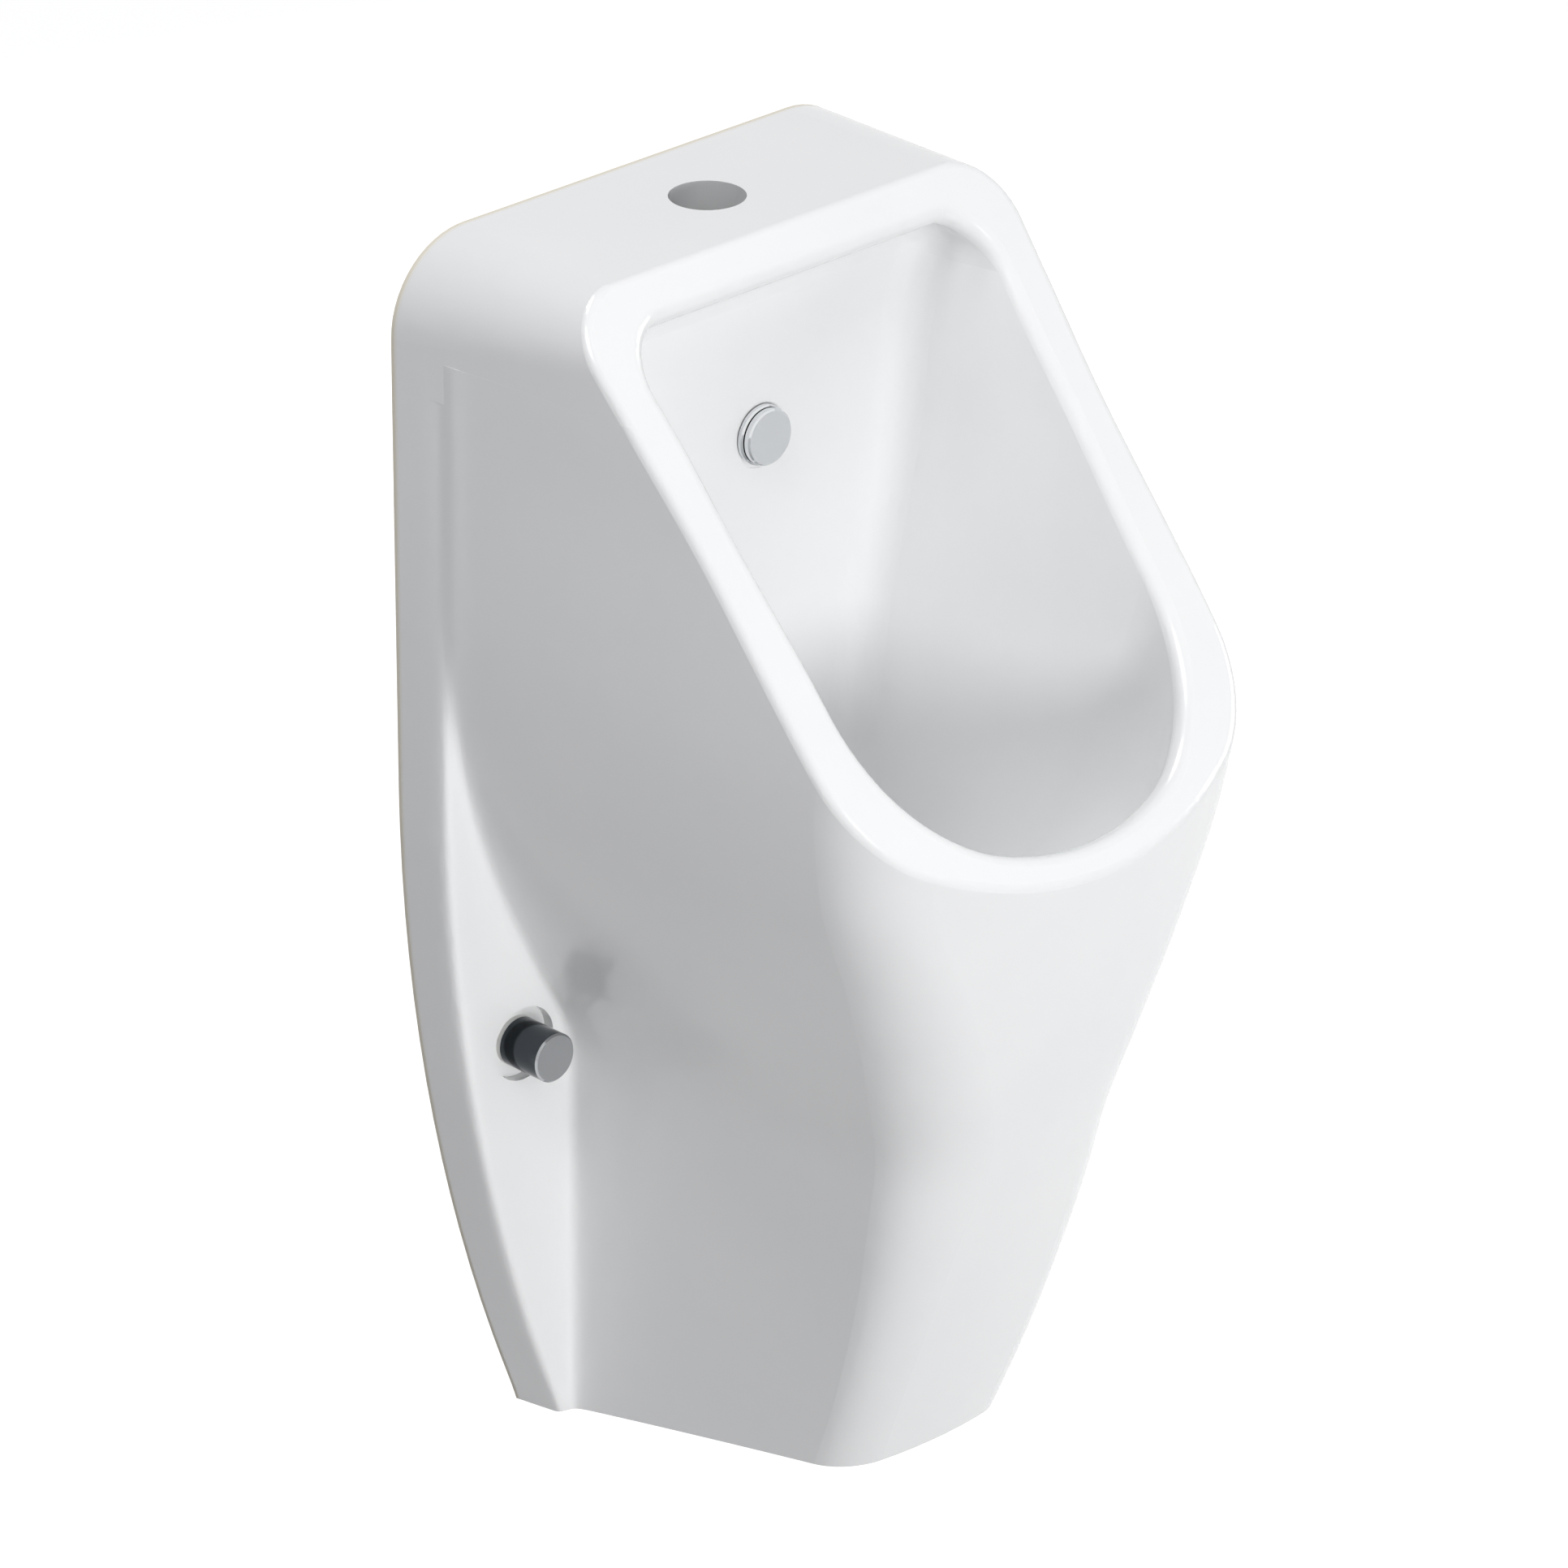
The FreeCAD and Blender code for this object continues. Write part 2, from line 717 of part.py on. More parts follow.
def inlet_gland():
    # Rubber sleeve pushed up into the socket, with a flange under the boss.
    base = at(0, inlet_depth, gland_flange_top)
    bore = feed_pipe_radius + fit_clearance
    return turned((
        (bore, -gland_flange_thickness), (gland_flange_radius, -gland_flange_thickness),
        (gland_flange_radius, 0), (inlet_socket_radius - fit_clearance, 0),
        (inlet_socket_radius - fit_clearance, inlet_socket_length - fit_clearance),
        (bore, inlet_socket_length - fit_clearance)), base, up)


def feed_pipe():
    low = spreader_height + elbow_pipe_stop
    length = gland_flange_top + gland_bore_depth - low
    return tube(feed_pipe_radius, feed_pipe_radius - feed_pipe_wall, length, at(0, inlet_depth, low), up)


def feed_elbow():
    # Closed elbow: the pipe stands on a stop in the upper socket, the spreader's tail enters the arm.
    centre = at(0, inlet_depth, spreader_height)
    arm_length = spreader_nut_back - inlet_depth
    body = Part.makeSphere(elbow_radius, centre)
    body = body.fuse(Part.makeCylinder(elbow_radius, elbow_pipe_stop + elbow_socket_length, centre, up))
    body = body.fuse(Part.makeCylinder(elbow_arm_radius, arm_length, centre, outward))
    passage = feed_pipe_radius - feed_pipe_wall
    socket = centre + up * elbow_pipe_stop
    tail = centre + outward * (spreader_tail_end - inlet_depth)
    cuts = [
        Part.makeCylinder(feed_pipe_radius + fit_clearance, overrun, socket, up),
        Part.makeCylinder(passage, elbow_pipe_stop + overrun, centre, up),
        Part.makeSphere(passage, centre),
        Part.makeCylinder(spreader_tail_bore, overrun, centre, outward),
        Part.makeCylinder(spreader_tail_radius + fit_clearance, overrun, tail, outward),
    ]
    for cut in cuts:
        body = body.cut(cut)
    return body


def spreader_body():
    # Flanged tail through the bowl's back wall, with a ribbed hub that holds the disc.
    base = at(0, 0, spreader_height)
    shell = turned((
        (spreader_tail_bore, spreader_tail_end), (spreader_tail_radius, spreader_tail_end),
        (spreader_tail_radius, spreader_ring_back), (spreader_ring_radius, spreader_ring_back),
        (spreader_ring_radius, spreader_ring_front - spreader_edge_chamfer),
        (spreader_ring_radius - spreader_edge_chamfer, spreader_ring_front),
        (spreader_tail_bore, spreader_ring_front)), base, outward)
    hub_base = base + outward * (spreader_hub_front - spreader_hub_length)
    rib = Part.makeBox(spreader_rib_thickness, spreader_hub_length, spreader_tail_radius,
                       hub_base + outward * spreader_hub_length - x_axis * (spreader_rib_thickness / 2))
    web = Part.makeCylinder(spreader_hub_radius, spreader_hub_length, hub_base, outward)
    web = web.fuse(around(rib, base, outward, spreader_rib_count))
    web = web.cut(Part.makeCylinder(spreader_stem_radius + thread_clearance, overrun, hub_base, outward))
    return shell.fuse(web)


def spreader_disc():
    # Disc that turns the water sideways; its stem screws into the hub and its shoulder rests on it.
    base = at(0, 0, spreader_height)
    edge = spreader_edge_chamfer
    back = spreader_ring_front + spreader_slot
    front = back + spreader_disc_thickness
    stem_end = spreader_hub_front - spreader_hub_length
    return turned((
        (0, stem_end), (spreader_stem_radius, stem_end), (spreader_stem_radius, spreader_hub_front),
        (spreader_shoulder_radius, spreader_hub_front), (spreader_shoulder_radius, back),
        (spreader_disc_radius, back), (spreader_disc_radius, front - edge),
        (spreader_disc_radius - edge, front), (0, front)), base, outward)


def spreader_ring(radius, thickness, back):
    bore = spreader_tail_radius + fit_clearance
    return tube(radius, bore, thickness, at(0, back, spreader_height), outward)


def spreader_seal():
    return spreader_ring(spreader_seal_radius, spreader_seal_thickness, spreader_seat_depth)


def spreader_washer():
    return spreader_ring(spreader_washer_radius, spreader_washer_thickness, spreader_washer_back)


def spreader_backnut():
    base = at(0, spreader_nut_back, spreader_height)
    bore = spreader_tail_radius + thread_clearance
    return hex_nut(spreader_nut_flats, spreader_nut_thickness, bore, base, outward)


# Fixings

def fixing_bolt(place):
    # Hanger bolt: the thicker, pointed end goes into the wall, the thread carries the nut.
    return turned((
        (0, -bolt_wall_length - bolt_tip_length), (bolt_tip_radius, -bolt_wall_length - bolt_tip_length),
        (bolt_wall_radius, -bolt_wall_length), (bolt_wall_radius, 0), (bolt_radius, 0),
        (bolt_radius, bolt_end_depth), (0, bolt_end_depth)), place, outward)


def fixing_bush(place):
    # Plastic bush in the china: collar as wide as the cap, spigot that holds the cap.
    bore = bolt_radius + fit_clearance
    sleeve = fixing_hole_radius - fit_clearance
    collar_end = recess_floor_depth + bush_collar_thickness
    return turned((
        (bore, bush_wall_gap), (sleeve, bush_wall_gap), (sleeve, recess_floor_depth),
        (cap_outer_radius, recess_floor_depth), (cap_outer_radius, collar_end),
        (bush_spigot_radius, collar_end), (bush_spigot_radius, spigot_end_depth),
        (bore, spigot_end_depth)), place, outward)


def fixing_washer(place):
    base = place + outward * spigot_end_depth
    bore = bolt_radius + fit_clearance
    return tube(fixing_washer_radius, bore, fixing_washer_thickness, base, outward)


def fixing_nut(place):
    base = place + outward * (spigot_end_depth + fixing_washer_thickness)
    return hex_nut(fixing_nut_flats, fixing_nut_thickness, bolt_radius + thread_clearance, base, outward)


def fixing_cap(place):
    # Cup with a chamfered end that pushes over the bush's spigot.
    start = recess_floor_depth + bush_collar_thickness + cap_seat_gap
    end = start + cap_length
    return turned((
        (cap_inner_radius, start), (cap_outer_radius, start), (cap_outer_radius, end - cap_chamfer),
        (cap_outer_radius - cap_chamfer, end), (0, end), (0, end - cap_end_wall),
        (cap_inner_radius, end - cap_end_wall)), place, outward)


# Waste

def waste_body():
    base = at(0, waste_depth, waste_flange_bottom)
    seat = strainer_radius + fit_clearance
    top = waste_flange_thickness
    return turned((
        (waste_tail_bore, -waste_tail_length), (waste_tail_radius, -waste_tail_length),
        (waste_tail_radius, 0), (waste_flange_radius, 0), (waste_flange_radius, top), (seat, top),
        (seat, top - strainer_seat_depth), (waste_tail_bore, top - strainer_seat_depth)), base, up)


def waste_ring(radius, thickness, bottom):
    bore = waste_tail_radius + fit_clearance
    return tube(radius, bore, thickness, at(0, waste_depth, bottom), up)


def waste_upper_seal():
    return waste_ring(waste_upper_seal_radius, waste_seal_thickness, waste_recess_floor)


def waste_lower_seal():
    return waste_ring(waste_lower_seal_radius, waste_lower_seal_thickness, waste_seal_bottom)


def waste_locknut():
    base = at(0, waste_depth, waste_nut_bottom)
    return hex_nut(waste_nut_flats, waste_nut_thickness, waste_tail_radius + thread_clearance, base, up)


def strainer():
    # Loose domed grid that lies in the waste's seat.
    base = at(0, waste_depth, waste_flange_bottom + waste_flange_thickness - strainer_seat_depth)
    rise = strainer_dome_height
    sphere = (strainer_dome_radius ** 2 + rise ** 2) / (2 * rise)
    centre = base + up * (strainer_thickness + rise - sphere)
    rim = tube(strainer_radius, strainer_dome_radius - strainer_thickness, strainer_thickness, base, up)
    dome = Part.makeSphere(sphere, centre).cut(Part.makeSphere(sphere - strainer_thickness, centre))
    dome = dome.common(Part.makeCylinder(strainer_dome_radius, overrun, base, up))
    grid = rim.fuse(dome)
    holes = [Part.makeCylinder(strainer_hole_radius, overrun, base, up)]
    for count, share in zip(strainer_ring_counts, strainer_ring_radius_shares):
        spot = base + x_axis * (share * strainer_dome_radius)
        hole = Part.makeCylinder(strainer_hole_radius, overrun, spot, up)
        holes += around(hole, base, up, count)
    return grid.cut(holes)


# Bottle trap and outlet

def ribbed(body, rib_radius, count, radius, base, direction, length):
    # Grip ribs around a turned body.
    side = up if abs(direction.z) < 1 else x_axis
    rib = Part.makeCylinder(rib_radius, length, base + side * radius, direction)
    return body.fuse(around(rib, base, direction, count))


def trap_inlet_nut():
    # Union nut: screws on the waste's tail and pulls the trap's collar up against the seal.
    base = at(0, waste_depth, trap_collar_bottom)
    cavity = waste_tail_end - trap_collar_bottom
    top = cavity + trap_nut_upper_length
    nut = turned((
        (trap_neck_radius + fit_clearance, -trap_nut_lip), (trap_nut_radius, -trap_nut_lip),
        (trap_nut_radius, top), (waste_tail_radius + thread_clearance, top),
        (waste_tail_radius + thread_clearance, cavity), (trap_collar_radius + fit_clearance, cavity),
        (trap_collar_radius + fit_clearance, 0), (trap_neck_radius + fit_clearance, 0)), base, up)
    start = base - up * trap_nut_lip
    length = top + trap_nut_lip
    return ribbed(nut, trap_nut_rib_radius, trap_nut_rib_count, trap_nut_radius, start, up, length)


def trap_inlet_seal():
    base = at(0, waste_depth, waste_tail_end - trap_inlet_seal_thickness)
    return tube(dip_flange_radius, waste_tail_bore, trap_inlet_seal_thickness, base, up)


def trap_dip_tube():
    base = at(0, waste_depth, dip_flange_bottom)
    bore = dip_tube_radius - dip_tube_wall
    return turned((
        (bore, -dip_tube_length), (dip_tube_radius, -dip_tube_length), (dip_tube_radius, 0),
        (dip_flange_radius, 0), (dip_flange_radius, dip_flange_thickness),
        (bore, dip_flange_thickness)), base, up)


def trap_body():
    # Bottle with a collared neck above and a branch towards the wall.
    base = at(0, waste_depth, bottle_top)
    neck_bore = dip_tube_radius + fit_clearance
    collar_bottom = trap_collar_bottom - bottle_top
    collar_top = collar_bottom + trap_collar_thickness
    inner = bottle_radius - bottle_wall
    bottle = turned((
        (neck_bore, collar_top), (trap_collar_radius, collar_top), (trap_collar_radius, collar_bottom),
        (trap_neck_radius, collar_bottom), (trap_neck_radius, 0), (bottle_radius - bottle_shoulder, 0),
        (bottle_radius, -bottle_shoulder), (bottle_radius, -bottle_length), (inner, -bottle_length),
        (inner, -bottle_shoulder - bottle_wall), (inner - bottle_shoulder, -bottle_wall),
        (neck_bore, -bottle_wall)), base, up)
    axis = at(0, waste_depth, branch_height)
    reach = waste_depth - branch_end_depth
    branch = Part.makeCylinder(branch_radius, reach, axis, inward)
    hollow = turned(((0, -bottle_length - overrun), (inner, -bottle_length - overrun),
                     (inner, -bottle_shoulder - bottle_wall), (inner - bottle_shoulder, -bottle_wall),
                     (0, -bottle_wall)), base, up)
    bottle = bottle.fuse(branch.cut(hollow))
    passage = Part.makeCylinder(outlet_bore, reach + overrun, axis, inward)
    socket = Part.makeCylinder(outlet_pipe_radius + fit_clearance, outlet_insert + overrun,
                               at(0, branch_end_depth + outlet_insert, branch_height), inward)
    return bottle.cut(passage).cut(socket)


def trap_cup_seal():
    base = at(0, waste_depth, cup_shoulder)
    return tube(bottle_radius, bottle_radius - bottle_wall, cup_seal_thickness, base, up)


def trap_cup():
    # Screw-off cup: its skirt covers the bottle's lower end, its shoulder carries the seal.
    base = at(0, waste_depth, cup_shoulder)
    skirt = bottle_radius + fit_clearance
    outer = skirt + cup_wall
    inner = bottle_radius - bottle_wall
    round_off = cup_bottom_radius
    step = round_off * (1 - diagonal)
    low = -cup_depth
    cup = turned((
        (0, low), (outer - round_off, low), (outer - step, low + step), (outer, low + round_off),
        (outer, cup_skirt_length), (skirt, cup_skirt_length), (skirt, 0), (inner, 0),
        (inner, low + round_off), (inner - step, low + cup_wall + step),
        (outer - round_off - cup_wall, low + cup_wall), (0, low + cup_wall)), base, up)
    start = base + up * (low + round_off)
    length = cup_skirt_length - low - round_off
    return ribbed(cup, cup_rib_radius, cup_rib_count, outer, start, up, length)


def outlet_nut():
    base = at(0, branch_end_depth, branch_height)
    bore = outlet_pipe_radius + fit_clearance
    back = outlet_seal_thickness
    end = back + outlet_nut_lip
    start = end - outlet_nut_length
    thread = branch_radius + thread_clearance
    nut = turned((
        (thread, start), (outlet_nut_radius, start), (outlet_nut_radius, end), (bore, end),
        (bore, back), (thread, back)), base, inward)
    grip = base + inward * start
    return ribbed(nut, outlet_nut_rib_radius, outlet_nut_rib_count, outlet_nut_radius, grip, inward,
                  outlet_nut_length)


def outlet_seal():
    base = at(0, branch_end_depth, branch_height)
    return tube(branch_radius, outlet_pipe_radius + fit_clearance, outlet_seal_thickness, base, inward)


def outlet_pipe():
    # Pipe from the branch through the wall plane; the part in the wall has the full outside size.
    base = at(0, 0, branch_height)
    start = -branch_end_depth - outlet_insert
    return turned((
        (outlet_bore, start), (outlet_pipe_radius, start), (outlet_pipe_radius, 0), (outlet_radius, 0),
        (outlet_radius, outlet_wall_length), (outlet_bore, outlet_wall_length)), base, inward)


def at_both_fixings(piece):
    return Part.makeCompound([piece(place) for place in fixing_places()])


def pieces():
    left, right = fixing_places()
    return {
        "ceramic_body": ceramic_body(),
        "inlet_gland": inlet_gland(),
        "feed_pipe": feed_pipe(),
        "feed_elbow": feed_elbow(),
        "spreader_body": spreader_body(),
        "spreader_disc": spreader_disc(),
        "spreader_seal": spreader_seal(),
        "spreader_washer": spreader_washer(),
        "spreader_backnut": spreader_backnut(),
        "left_fixing_cap": fixing_cap(left),
        "right_fixing_cap": fixing_cap(right),
        "fixing_bolts": at_both_fixings(fixing_bolt),
        "fixing_bushes": at_both_fixings(fixing_bush),
        "fixing_washers": at_both_fixings(fixing_washer),
        "fixing_nuts": at_both_fixings(fixing_nut),
        "strainer": strainer(),
        "waste_body": waste_body(),
        "waste_upper_seal": waste_upper_seal(),
        "waste_lower_seal": waste_lower_seal(),
        "waste_locknut": waste_locknut(),
        "trap_inlet_nut": trap_inlet_nut(),
        "trap_inlet_seal": trap_inlet_seal(),
        "trap_dip_tube": trap_dip_tube(),
        "trap_body": trap_body(),
        "trap_cup_seal": trap_cup_seal(),
        "trap_cup": trap_cup(),
        "outlet_nut": outlet_nut(),
        "outlet_seal": outlet_seal(),
        "outlet_pipe": outlet_pipe(),
    }


os.makedirs("parts", exist_ok=True)
for name, shape in pieces().items():
    shape.translate(down * fixing_height)
    shape.exportStep("parts/" + name + ".step")
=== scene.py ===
import bmesh
import bpy
import json
import math
from mathutils import Matrix, Vector


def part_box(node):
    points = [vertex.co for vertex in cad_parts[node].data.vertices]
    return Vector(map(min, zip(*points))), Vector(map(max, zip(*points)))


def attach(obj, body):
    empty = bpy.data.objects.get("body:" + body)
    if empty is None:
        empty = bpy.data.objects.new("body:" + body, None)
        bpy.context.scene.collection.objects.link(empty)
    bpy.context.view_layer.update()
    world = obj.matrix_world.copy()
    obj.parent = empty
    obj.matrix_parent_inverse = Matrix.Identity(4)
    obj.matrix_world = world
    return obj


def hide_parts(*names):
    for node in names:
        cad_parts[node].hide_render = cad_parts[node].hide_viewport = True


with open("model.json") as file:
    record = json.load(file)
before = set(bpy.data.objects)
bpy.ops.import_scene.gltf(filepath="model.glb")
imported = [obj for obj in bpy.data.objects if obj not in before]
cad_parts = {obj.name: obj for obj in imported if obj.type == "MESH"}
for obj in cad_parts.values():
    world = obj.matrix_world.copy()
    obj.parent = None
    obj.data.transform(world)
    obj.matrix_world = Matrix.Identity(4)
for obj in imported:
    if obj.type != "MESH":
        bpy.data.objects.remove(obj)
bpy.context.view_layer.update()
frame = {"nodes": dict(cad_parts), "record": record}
nodes = frame["nodes"]
scene = bpy.context.scene
scene.view_settings.view_transform = "Standard"
print("frame loaded:", len(nodes), "pieces")

# colour sockets of a mix node: its two inputs and its result
mixFirst, mixSecond, mixResult = 6, 7, 2
millimetresInMetre = 1000.0


def linear(hexCode):
    # sRGB hex to the linear colour that the shader sockets take
    channels = [int(hexCode[i:i + 2], 16) / 255 for i in (1, 3, 5)]
    return [c / 12.92 if c <= 0.04045 else ((c + 0.055) / 1.055) ** 2.4 for c in channels] + [1.0]


def addNode(tree, kind, settings=None, links=None):
    # adds a node, sets its properties or sockets, and links its inputs to earlier outputs
    made = tree.nodes.new(kind)
    for key, value in (settings or {}).items():
        if isinstance(key, int) or key in made.inputs:
            made.inputs[key].default_value = value
        else:
            setattr(made, key, value)
    for key, output in (links or {}).items():
        tree.links.new(output, made.inputs[key])
    return made


def newMaterial(name):
    made = bpy.data.materials.new(name)
    made.use_nodes = True
    made.node_tree.nodes.clear()
    return made, made.node_tree


def noise(tree, place, size, detail):
    # cloudy pattern with features about size millimetres wide
    settings = {"Scale": millimetresInMetre / size, "Detail": detail}
    return addNode(tree, "ShaderNodeTexNoise", settings, {"Vector": place}).outputs["Fac"]


def ramp(tree, value, source=(0.0, 1.0), result=(0.0, 1.0)):
    # runs from one end of result to the other while value crosses source
    settings = {"From Min": source[0], "From Max": source[1], "To Min": result[0], "To Max": result[1]}
    return addNode(tree, "ShaderNodeMapRange", settings, {"Value": value}).outputs["Result"]


def drift(tree, look, pattern):
    # roughness that wanders with a pattern
    return ramp(tree, pattern, result=(look["roughness"], look["roughness"] + look["roughDrift"]))


def blend(tree, factor, first, second):
    # colour between two others, each a hex code or an earlier output
    mix = addNode(tree, "ShaderNodeMix", {"data_type": "RGBA"}, {"Factor": factor})
    for key, colour in ((mixFirst, first), (mixSecond, second)):
        if isinstance(colour, str):
            mix.inputs[key].default_value = linear(colour)
        else:
            tree.links.new(colour, mix.inputs[key])
    return mix.outputs[mixResult]


def relief(tree, look, pattern):
    settings = {"Strength": look["reliefStrength"], "Distance": look["reliefHeight"]}
    return addNode(tree, "ShaderNodeBump", settings, {"Height": pattern}).outputs["Normal"]


def surface(tree, settings, links):
    shader = addNode(tree, "ShaderNodeBsdfPrincipled", settings, links)
    addNode(tree, "ShaderNodeOutputMaterial", {}, {"Surface": shader.outputs["BSDF"]})


# Looks: sizes of patterns in millimetres, relief heights in metres.
# bareTo and glazedFrom are places in metres along Y, where the wall is at 0.
glaze = {
    "colour": "#E6E6E6",
    "pooled": "#DFE0E1",
    "poolSize": 90.0,
    "poolDetail": 3.0,
    "biscuit": "#DCD6C8",
    "bareTo": -0.0012,
    "glazedFrom": -0.0035,
    "peelSize": 9.0,
    "peelDetail": 1.0,
    "reliefStrength": 0.35,
    "reliefHeight": 0.00004,
    "roughness": 0.17,
    "roughDrift": 0.07,
    "ior": 1.52,
    "coat": 0.15,
    "coatRoughness": 0.05,
}


def glazedChina():
    # fired opaque white glaze on slip-cast vitreous china: a clear gloss with faint ripples,
    # slightly cooler where it ran thicker, and bare matt biscuit on the land that lies on the wall
    made, tree = newMaterial("glazedVitreousChina")
    place = addNode(tree, "ShaderNodeTexCoord").outputs["Object"]
    depth = addNode(tree, "ShaderNodeSeparateXYZ", {}, {"Vector": place}).outputs["Y"]
    bare = ramp(tree, depth, (glaze["glazedFrom"], glaze["bareTo"]))
    pool = noise(tree, place, glaze["poolSize"], glaze["poolDetail"])
    tint = blend(tree, pool, glaze["colour"], glaze["pooled"])
    peel = noise(tree, place, glaze["peelSize"], glaze["peelDetail"])
    rough = addNode(tree, "ShaderNodeMath", {"operation": "MAXIMUM"}, {0: drift(tree, glaze, pool), 1: bare})
    surface(tree, {"IOR": glaze["ior"], "Coat Roughness": glaze["coatRoughness"]},
            {"Base Color": blend(tree, bare, tint, glaze["biscuit"]),
             "Roughness": rough.outputs["Value"],
             "Coat Weight": ramp(tree, bare, result=(glaze["coat"], 0.0)),
             "Normal": relief(tree, glaze, peel)})
    return made


plating = {"colour": "#E2E4E6", "smearSize": 26.0, "smearDetail": 4.0, "roughness": 0.07, "roughDrift": 0.08}


def polishedChrome():
    # electroplated chrome on polished brass: mirror bright, with a faint haze from wiping
    made, tree = newMaterial("polishedChromePlate")
    place = addNode(tree, "ShaderNodeTexCoord").outputs["Object"]
    haze = noise(tree, place, plating["smearSize"], plating["smearDetail"])
    surface(tree, {"Base Color": linear(plating["colour"]), "Metallic": 1.0},
            {"Roughness": drift(tree, plating, haze)})
    return made


# sideTo and endFrom: how far a face points along Y, from the side's painted dark reflection to the end's
# plating
capLook = {
    "end": "#C8CACC",
    # side: painted dark reflection, nearly black wherever the face points across Y
    "side": "#43474B",
    "sideTo": 0.45,
    "endFrom": 0.85,
    "smearSize": 14.0,
    "smearDetail": 4.0,
    "roughness": 0.09,
    "roughDrift": 0.1,
}


def smokedChromeWithPaintedReflection():
    # pressed caps plated bright on the end; the nearly black side is a painted dark reflection, not black
    # nickel
    made, tree = newMaterial("smokedChromePaintedReflection")
    coords = addNode(tree, "ShaderNodeTexCoord")
    facing = addNode(tree, "ShaderNodeSeparateXYZ", {}, {"Vector": coords.outputs["Normal"]})
    along = addNode(tree, "ShaderNodeMath", {"operation": "ABSOLUTE"}, {0: facing.outputs["Y"]})
    onEnd = ramp(tree, along.outputs["Value"], (capLook["sideTo"], capLook["endFrom"]))
    haze = noise(tree, coords.outputs["Object"], capLook["smearSize"], capLook["smearDetail"])
    surface(tree, {"Metallic": 1.0},
            # the side's dark colour is a painted reflection; the end keeps the plating's own tint
            {"Base Color": blend(tree, onEnd, capLook["side"], capLook["end"]),
             "Roughness": drift(tree, capLook, haze)})
    return made


# compression-moulded EPDM: nearly black, matt, with a fine mould grain
rubber = {
    "colour": "#1B1B1C",
    "shade": "#2C2C2D",
    "cloudSize": 0.9,
    "cloudDetail": 2.0,
    "grainSize": 0.9,
    "grainDetail": 2.0,
    "reliefStrength": 0.6,
    "reliefHeight": 0.00003,
    "roughness": 0.72,
    "ior": 1.52,
}

# injection-moulded polypropylene: waxy white, satin from a spark-eroded mould
polypropylene = {
    "colour": "#E4E4E0",
    "shade": "#D8D8D3",
    "cloudSize": 30.0,
    "cloudDetail": 2.0,
    "grainSize": 0.7,
    "grainDetail": 1.0,
    "reliefStrength": 0.5,
    "reliefHeight": 0.00003,
    "roughness": 0.42,
    "ior": 1.49,
}


def moulded(name, look):
    # one even gloss, with flow clouds in the colour and the mould's grain as relief
    made, tree = newMaterial(name)
    place = addNode(tree, "ShaderNodeTexCoord").outputs["Object"]
    cloud = noise(tree, place, look["cloudSize"], look["cloudDetail"])
    grain = noise(tree, place, look["grainSize"], look["grainDetail"])
    surface(tree, {"Roughness": look["roughness"], "IOR": look["ior"]},
            {"Base Color": blend(tree, cloud, look["colour"], look["shade"]),
             "Normal": relief(tree, look, grain)})
    return made


# rolled steel with a thin bright zinc plating: cool grey, slightly cloudy
zinc = {
    "colour": "#A9ADB0",
    "dull": "#8F9396",
    "cloudSize": 3.0,
    "cloudDetail": 3.0,
    "roughness": 0.34,
    "roughDrift": 0.16,
}

# turned yellow brass, dulled a little by handling
brass = {
    "colour": "#C7A65A",
    "dull": "#A98643",
    "cloudSize": 7.0,
    "cloudDetail": 3.0,
    "roughness": 0.3,
    "roughDrift": 0.15,
}


def cloudyMetal(name, look):
    # colour and gloss dull together in patches
    made, tree = newMaterial(name)
    place = addNode(tree, "ShaderNodeTexCoord").outputs["Object"]
    cloud = noise(tree, place, look["cloudSize"], look["cloudDetail"])
    surface(tree, {"Metallic": 1.0},
            {"Base Color": blend(tree, cloud, look["colour"], look["dull"]),
             "Roughness": drift(tree, look, cloud)})
    return made


finishes = {
    "glazed_china": glazedChina(),
    "chrome": polishedChrome(),
    "smoked_chrome": smokedChromeWithPaintedReflection(),
    "black_rubber": moulded("mouldedEpdmRubber", rubber),
    "white_plastic": moulded("mouldedPolypropylene", polypropylene),
    "zinc_steel": cloudyMetal("zincPlatedSteel", zinc),
    "brass": cloudyMetal("machinedBrass", brass),
}
slotOf = {row["node"]: row["material_slot"] for row in frame["record"]["subparts"]}
for name, piece in nodes.items():
    piece.data.materials.clear()
    piece.data.materials.append(finishes[slotOf[name]])
print("finishes set:", ", ".join(sorted(finishes)))

# hanger bolts: sizes in metres, each thread cut into the plain shank
boltThread = {
    "wallRadius": 0.005,
    "wallPitch": 0.0036,
    "wallDepth": 0.0012,
    "wallCrestShare": 0.35,
    "tipRadius": 0.0015,
    "tipLength": 0.006,
    "studRadius": 0.00485,
    "studPitch": 0.0015,
    "studDepth": 0.0008,
    "studCrestShare": 0.9,
    "around": 32,
    "rowsPerTurn": 10,
}


def boltStations(tipY, endY):
    # rows along one bolt, from the point in the wall to the end under the cap
    rows = []
    step = boltThread["wallPitch"] / boltThread["rowsPerTurn"]
    count = round(tipY / step)
    for k in range(count + 1):
        y = tipY * (1 - k / count)
        ground = min(1, (tipY - y) / boltThread["tipLength"])
        crest = boltThread["tipRadius"] + (boltThread["wallRadius"] - boltThread["tipRadius"]) * ground
        rows.append((y, crest, boltThread["wallDepth"] * ground, boltThread["wallPitch"],
                     boltThread["wallCrestShare"]))
    step = boltThread["studPitch"] / boltThread["rowsPerTurn"]
    count = round(-endY / step)
    for k in range(count + 1):
        rows.append((endY * k / count, boltThread["studRadius"], boltThread["studDepth"],
                     boltThread["studPitch"], boltThread["studCrestShare"]))
    return rows


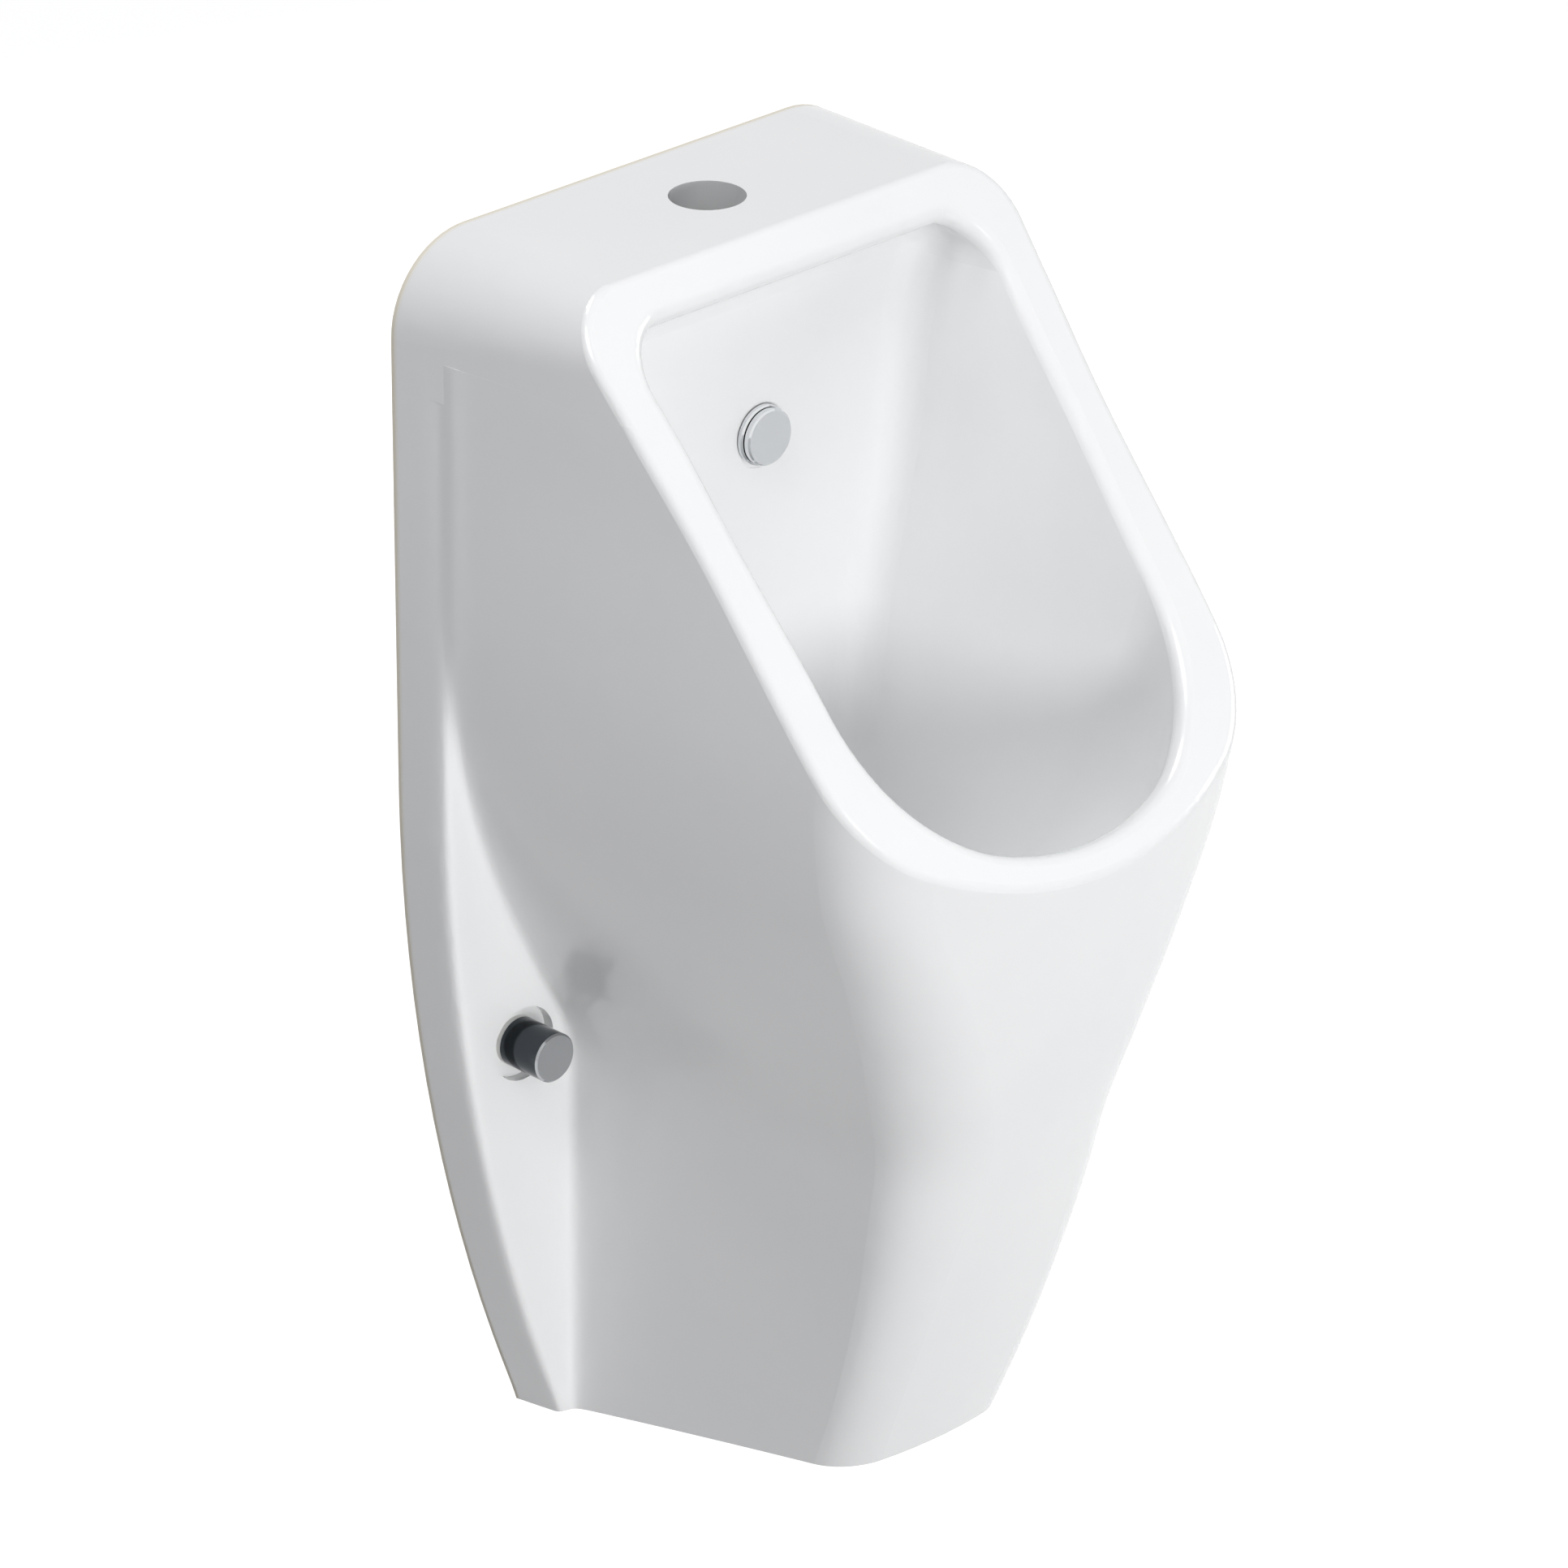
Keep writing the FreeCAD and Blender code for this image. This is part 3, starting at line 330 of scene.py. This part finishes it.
def threadedBolts():
    # right-handed threads: a coarse one that bites the wall plug, a fine one that carries the nut
    low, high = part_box("fixing_bolts")
    offset = high[0] - boltThread["wallRadius"]
    around = boltThread["around"]
    made = bmesh.new()
    for x in (-offset, offset):
        rings = []
        for y, crest, depth, pitch, crestShare in boltStations(high[1], low[1]):
            ring = []
            for k in range(around):
                turn = k / around
                ridge = 1 - abs(2 * ((y / pitch + turn) % 1) - 1)
                cut = min(1, (1 - ridge) / crestShare)
                radius = crest - depth * cut
                angle = 2 * math.pi * turn
                ring.append(made.verts.new((x + radius * math.cos(angle), y, radius * math.sin(angle))))
            rings.append(ring)
        for first, second in zip(rings, rings[1:]):
            for k in range(around):
                made.faces.new((first[k], first[k - 1], second[k - 1], second[k])).smooth = True
        made.faces.new(rings[0])
        made.faces.new(rings[-1])
    bmesh.ops.recalc_face_normals(made, faces=made.faces)
    mesh = bpy.data.meshes.new("threadedBolts")
    made.to_mesh(mesh)
    made.free()
    mesh.materials.append(finishes["zinc_steel"])
    piece = bpy.data.objects.new("threadedBolts", mesh)
    scene.collection.objects.link(piece)
    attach(piece, "urinal")
    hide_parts("fixing_bolts")
    return piece


print("bolts threaded:", len(threadedBolts().data.polygons), "faces")

# camera: long lens from the front left, looking down a little; angles in degrees, the rest in metres
# but for the lens, whose focal length is in pixels of the photograph and whose sensor is in millimetres
view = {
    "azimuth": 43.793,
    "elevation": 25.199,
    "distance": 4.999318,
    "aim": (0.0, -0.150, 0.104),
    "shiftRight": -0.029909,
    "shiftUp": 0.036063,
    "focalPixels": 13000,
    "photoPixels": 1932,
    "sensorWidth": 36,
    "clipEnd": 50,
}


def placeCamera():
    azimuth = math.radians(view["azimuth"])
    elevation = math.radians(view["elevation"])
    right = Vector((math.cos(azimuth), -math.sin(azimuth), 0))
    back = Vector((-math.sin(azimuth) * math.cos(elevation), -math.cos(azimuth) * math.cos(elevation),
                   math.sin(elevation)))
    up = back.cross(right)
    target = Vector(view["aim"]) + right * view["shiftRight"] + up * view["shiftUp"]
    data = bpy.data.cameras.new("photoCamera")
    data.lens = view["focalPixels"] / view["photoPixels"] * view["sensorWidth"]
    data.sensor_width = view["sensorWidth"]
    data.clip_end = view["clipEnd"]
    camera = bpy.data.objects.new("photoCamera", data)
    turn = Matrix((right, up, back)).transposed().to_4x4()
    camera.matrix_world = Matrix.Translation(target + back * view["distance"]) @ turn
    scene.collection.objects.link(camera)
    scene.camera = camera


placeCamera()

# white studio: pale floor well below the hung part, an even sky and large soft lamps.
# Each lamp has its place, diameter and watts; the unmirrored ones leave no highlight.
studio = {
    "floorHeight": -0.62,
    "floorSize": 8.0,
    "floorColour": "#A0A0A0",
    "floorGlow": 0.85,
    "sky": 0.23,
    "skyTint": "#F8FAFF",
    "white": "#FFFFFF",
    "whiteLevel": 1.0,
    "aim": (0.0, -0.15, 0.1),
    "lamps": {
        "frontLamp": ((-0.67, -3.28, 0.16), 1.0, 63.5),
        "rimLamp": ((-0.64, -2.9, 1.6), 1.0, 7.0),
        "rightLamp": ((2.68, -1.4, 0.62), 1.4, 17.5),
        "upperLeftLamp": ((-1.41, -0.66, 2.7), 1.4, 28.0),
        "rearTopLamp": ((0.0, 0.63, 3.0), 1.0, 31.5),
        "wallSideLamp": ((0.9, 2.6, 0.05), 1.4, 24.0),
    },
    "unmirrored": ("frontLamp",),
}


def areaLamp(name, place, size, power):
    data = bpy.data.lights.new(name, "AREA")
    data.shape = "DISK"
    data.size = size
    data.energy = power
    lamp = bpy.data.objects.new(name, data)
    lamp.location = place
    lamp.visible_glossy = name not in studio["unmirrored"]
    lamp.rotation_euler = (Vector(studio["aim"]) - Vector(place)).to_track_quat("-Z", "Y").to_euler()
    scene.collection.objects.link(lamp)


def squareSheet(name, size, material):
    half = size / 2
    corners = [(-half, -half, 0), (half, -half, 0), (half, half, 0), (-half, half, 0)]
    mesh = bpy.data.meshes.new(name)
    mesh.from_pydata(corners, [], [(0, 1, 2, 3)])
    mesh.materials.append(material)
    sheet = bpy.data.objects.new(name, mesh)
    scene.collection.objects.link(sheet)
    return sheet


def whiteIn(tree):
    # 1 for camera, glossy and transmission rays, which see the white background
    path = addNode(tree, "ShaderNodeLightPath")
    seen = addNode(tree, "ShaderNodeMath", {"operation": "MAXIMUM"},
                   {0: path.outputs["Is Camera Ray"], 1: path.outputs["Is Transmission Ray"]})
    shown = addNode(tree, "ShaderNodeMath", {"operation": "MAXIMUM"},
                    {0: seen.outputs["Value"], 1: path.outputs["Is Glossy Ray"]})
    return shown.outputs["Value"]


def paleFloor():
    # matt painted board: keeps the shadow, and glows just enough to reach white for the camera
    made, tree = newMaterial("mattPaintedBoard")
    board = addNode(tree, "ShaderNodeBsdfDiffuse", {"Color": linear(studio["floorColour"])})
    level = addNode(tree, "ShaderNodeMath", {"operation": "MULTIPLY", 1: studio["floorGlow"]},
                    {0: whiteIn(tree)})
    glow = addNode(tree, "ShaderNodeEmission", {"Color": linear(studio["white"])},
                   {"Strength": level.outputs["Value"]})
    both = addNode(tree, "ShaderNodeAddShader", {}, {0: board.outputs["BSDF"], 1: glow.outputs["Emission"]})
    addNode(tree, "ShaderNodeOutputMaterial", {}, {"Surface": both.outputs["Shader"]})
    sheet = squareSheet("studioFloor", studio["floorSize"], made)
    sheet.location.z = studio["floorHeight"]


def lightStudio():
    world = bpy.data.worlds.new("studioSky")
    world.use_nodes = True
    tree = world.node_tree
    tree.nodes.clear()
    dome = addNode(tree, "ShaderNodeBackground",
                   {"Color": linear(studio["skyTint"]), "Strength": studio["sky"]})
    white = addNode(tree, "ShaderNodeBackground",
                    {"Color": linear(studio["white"]), "Strength": studio["whiteLevel"]})
    sky = addNode(tree, "ShaderNodeMixShader", {},
                  {0: whiteIn(tree), 1: dome.outputs["Background"], 2: white.outputs["Background"]})
    addNode(tree, "ShaderNodeOutputWorld", {}, {"Surface": sky.outputs["Shader"]})
    scene.world = world
    for name, (place, size, power) in studio["lamps"].items():
        areaLamp(name, place, size, power)
    paleFloor()


lightStudio()
print("camera and studio ready")
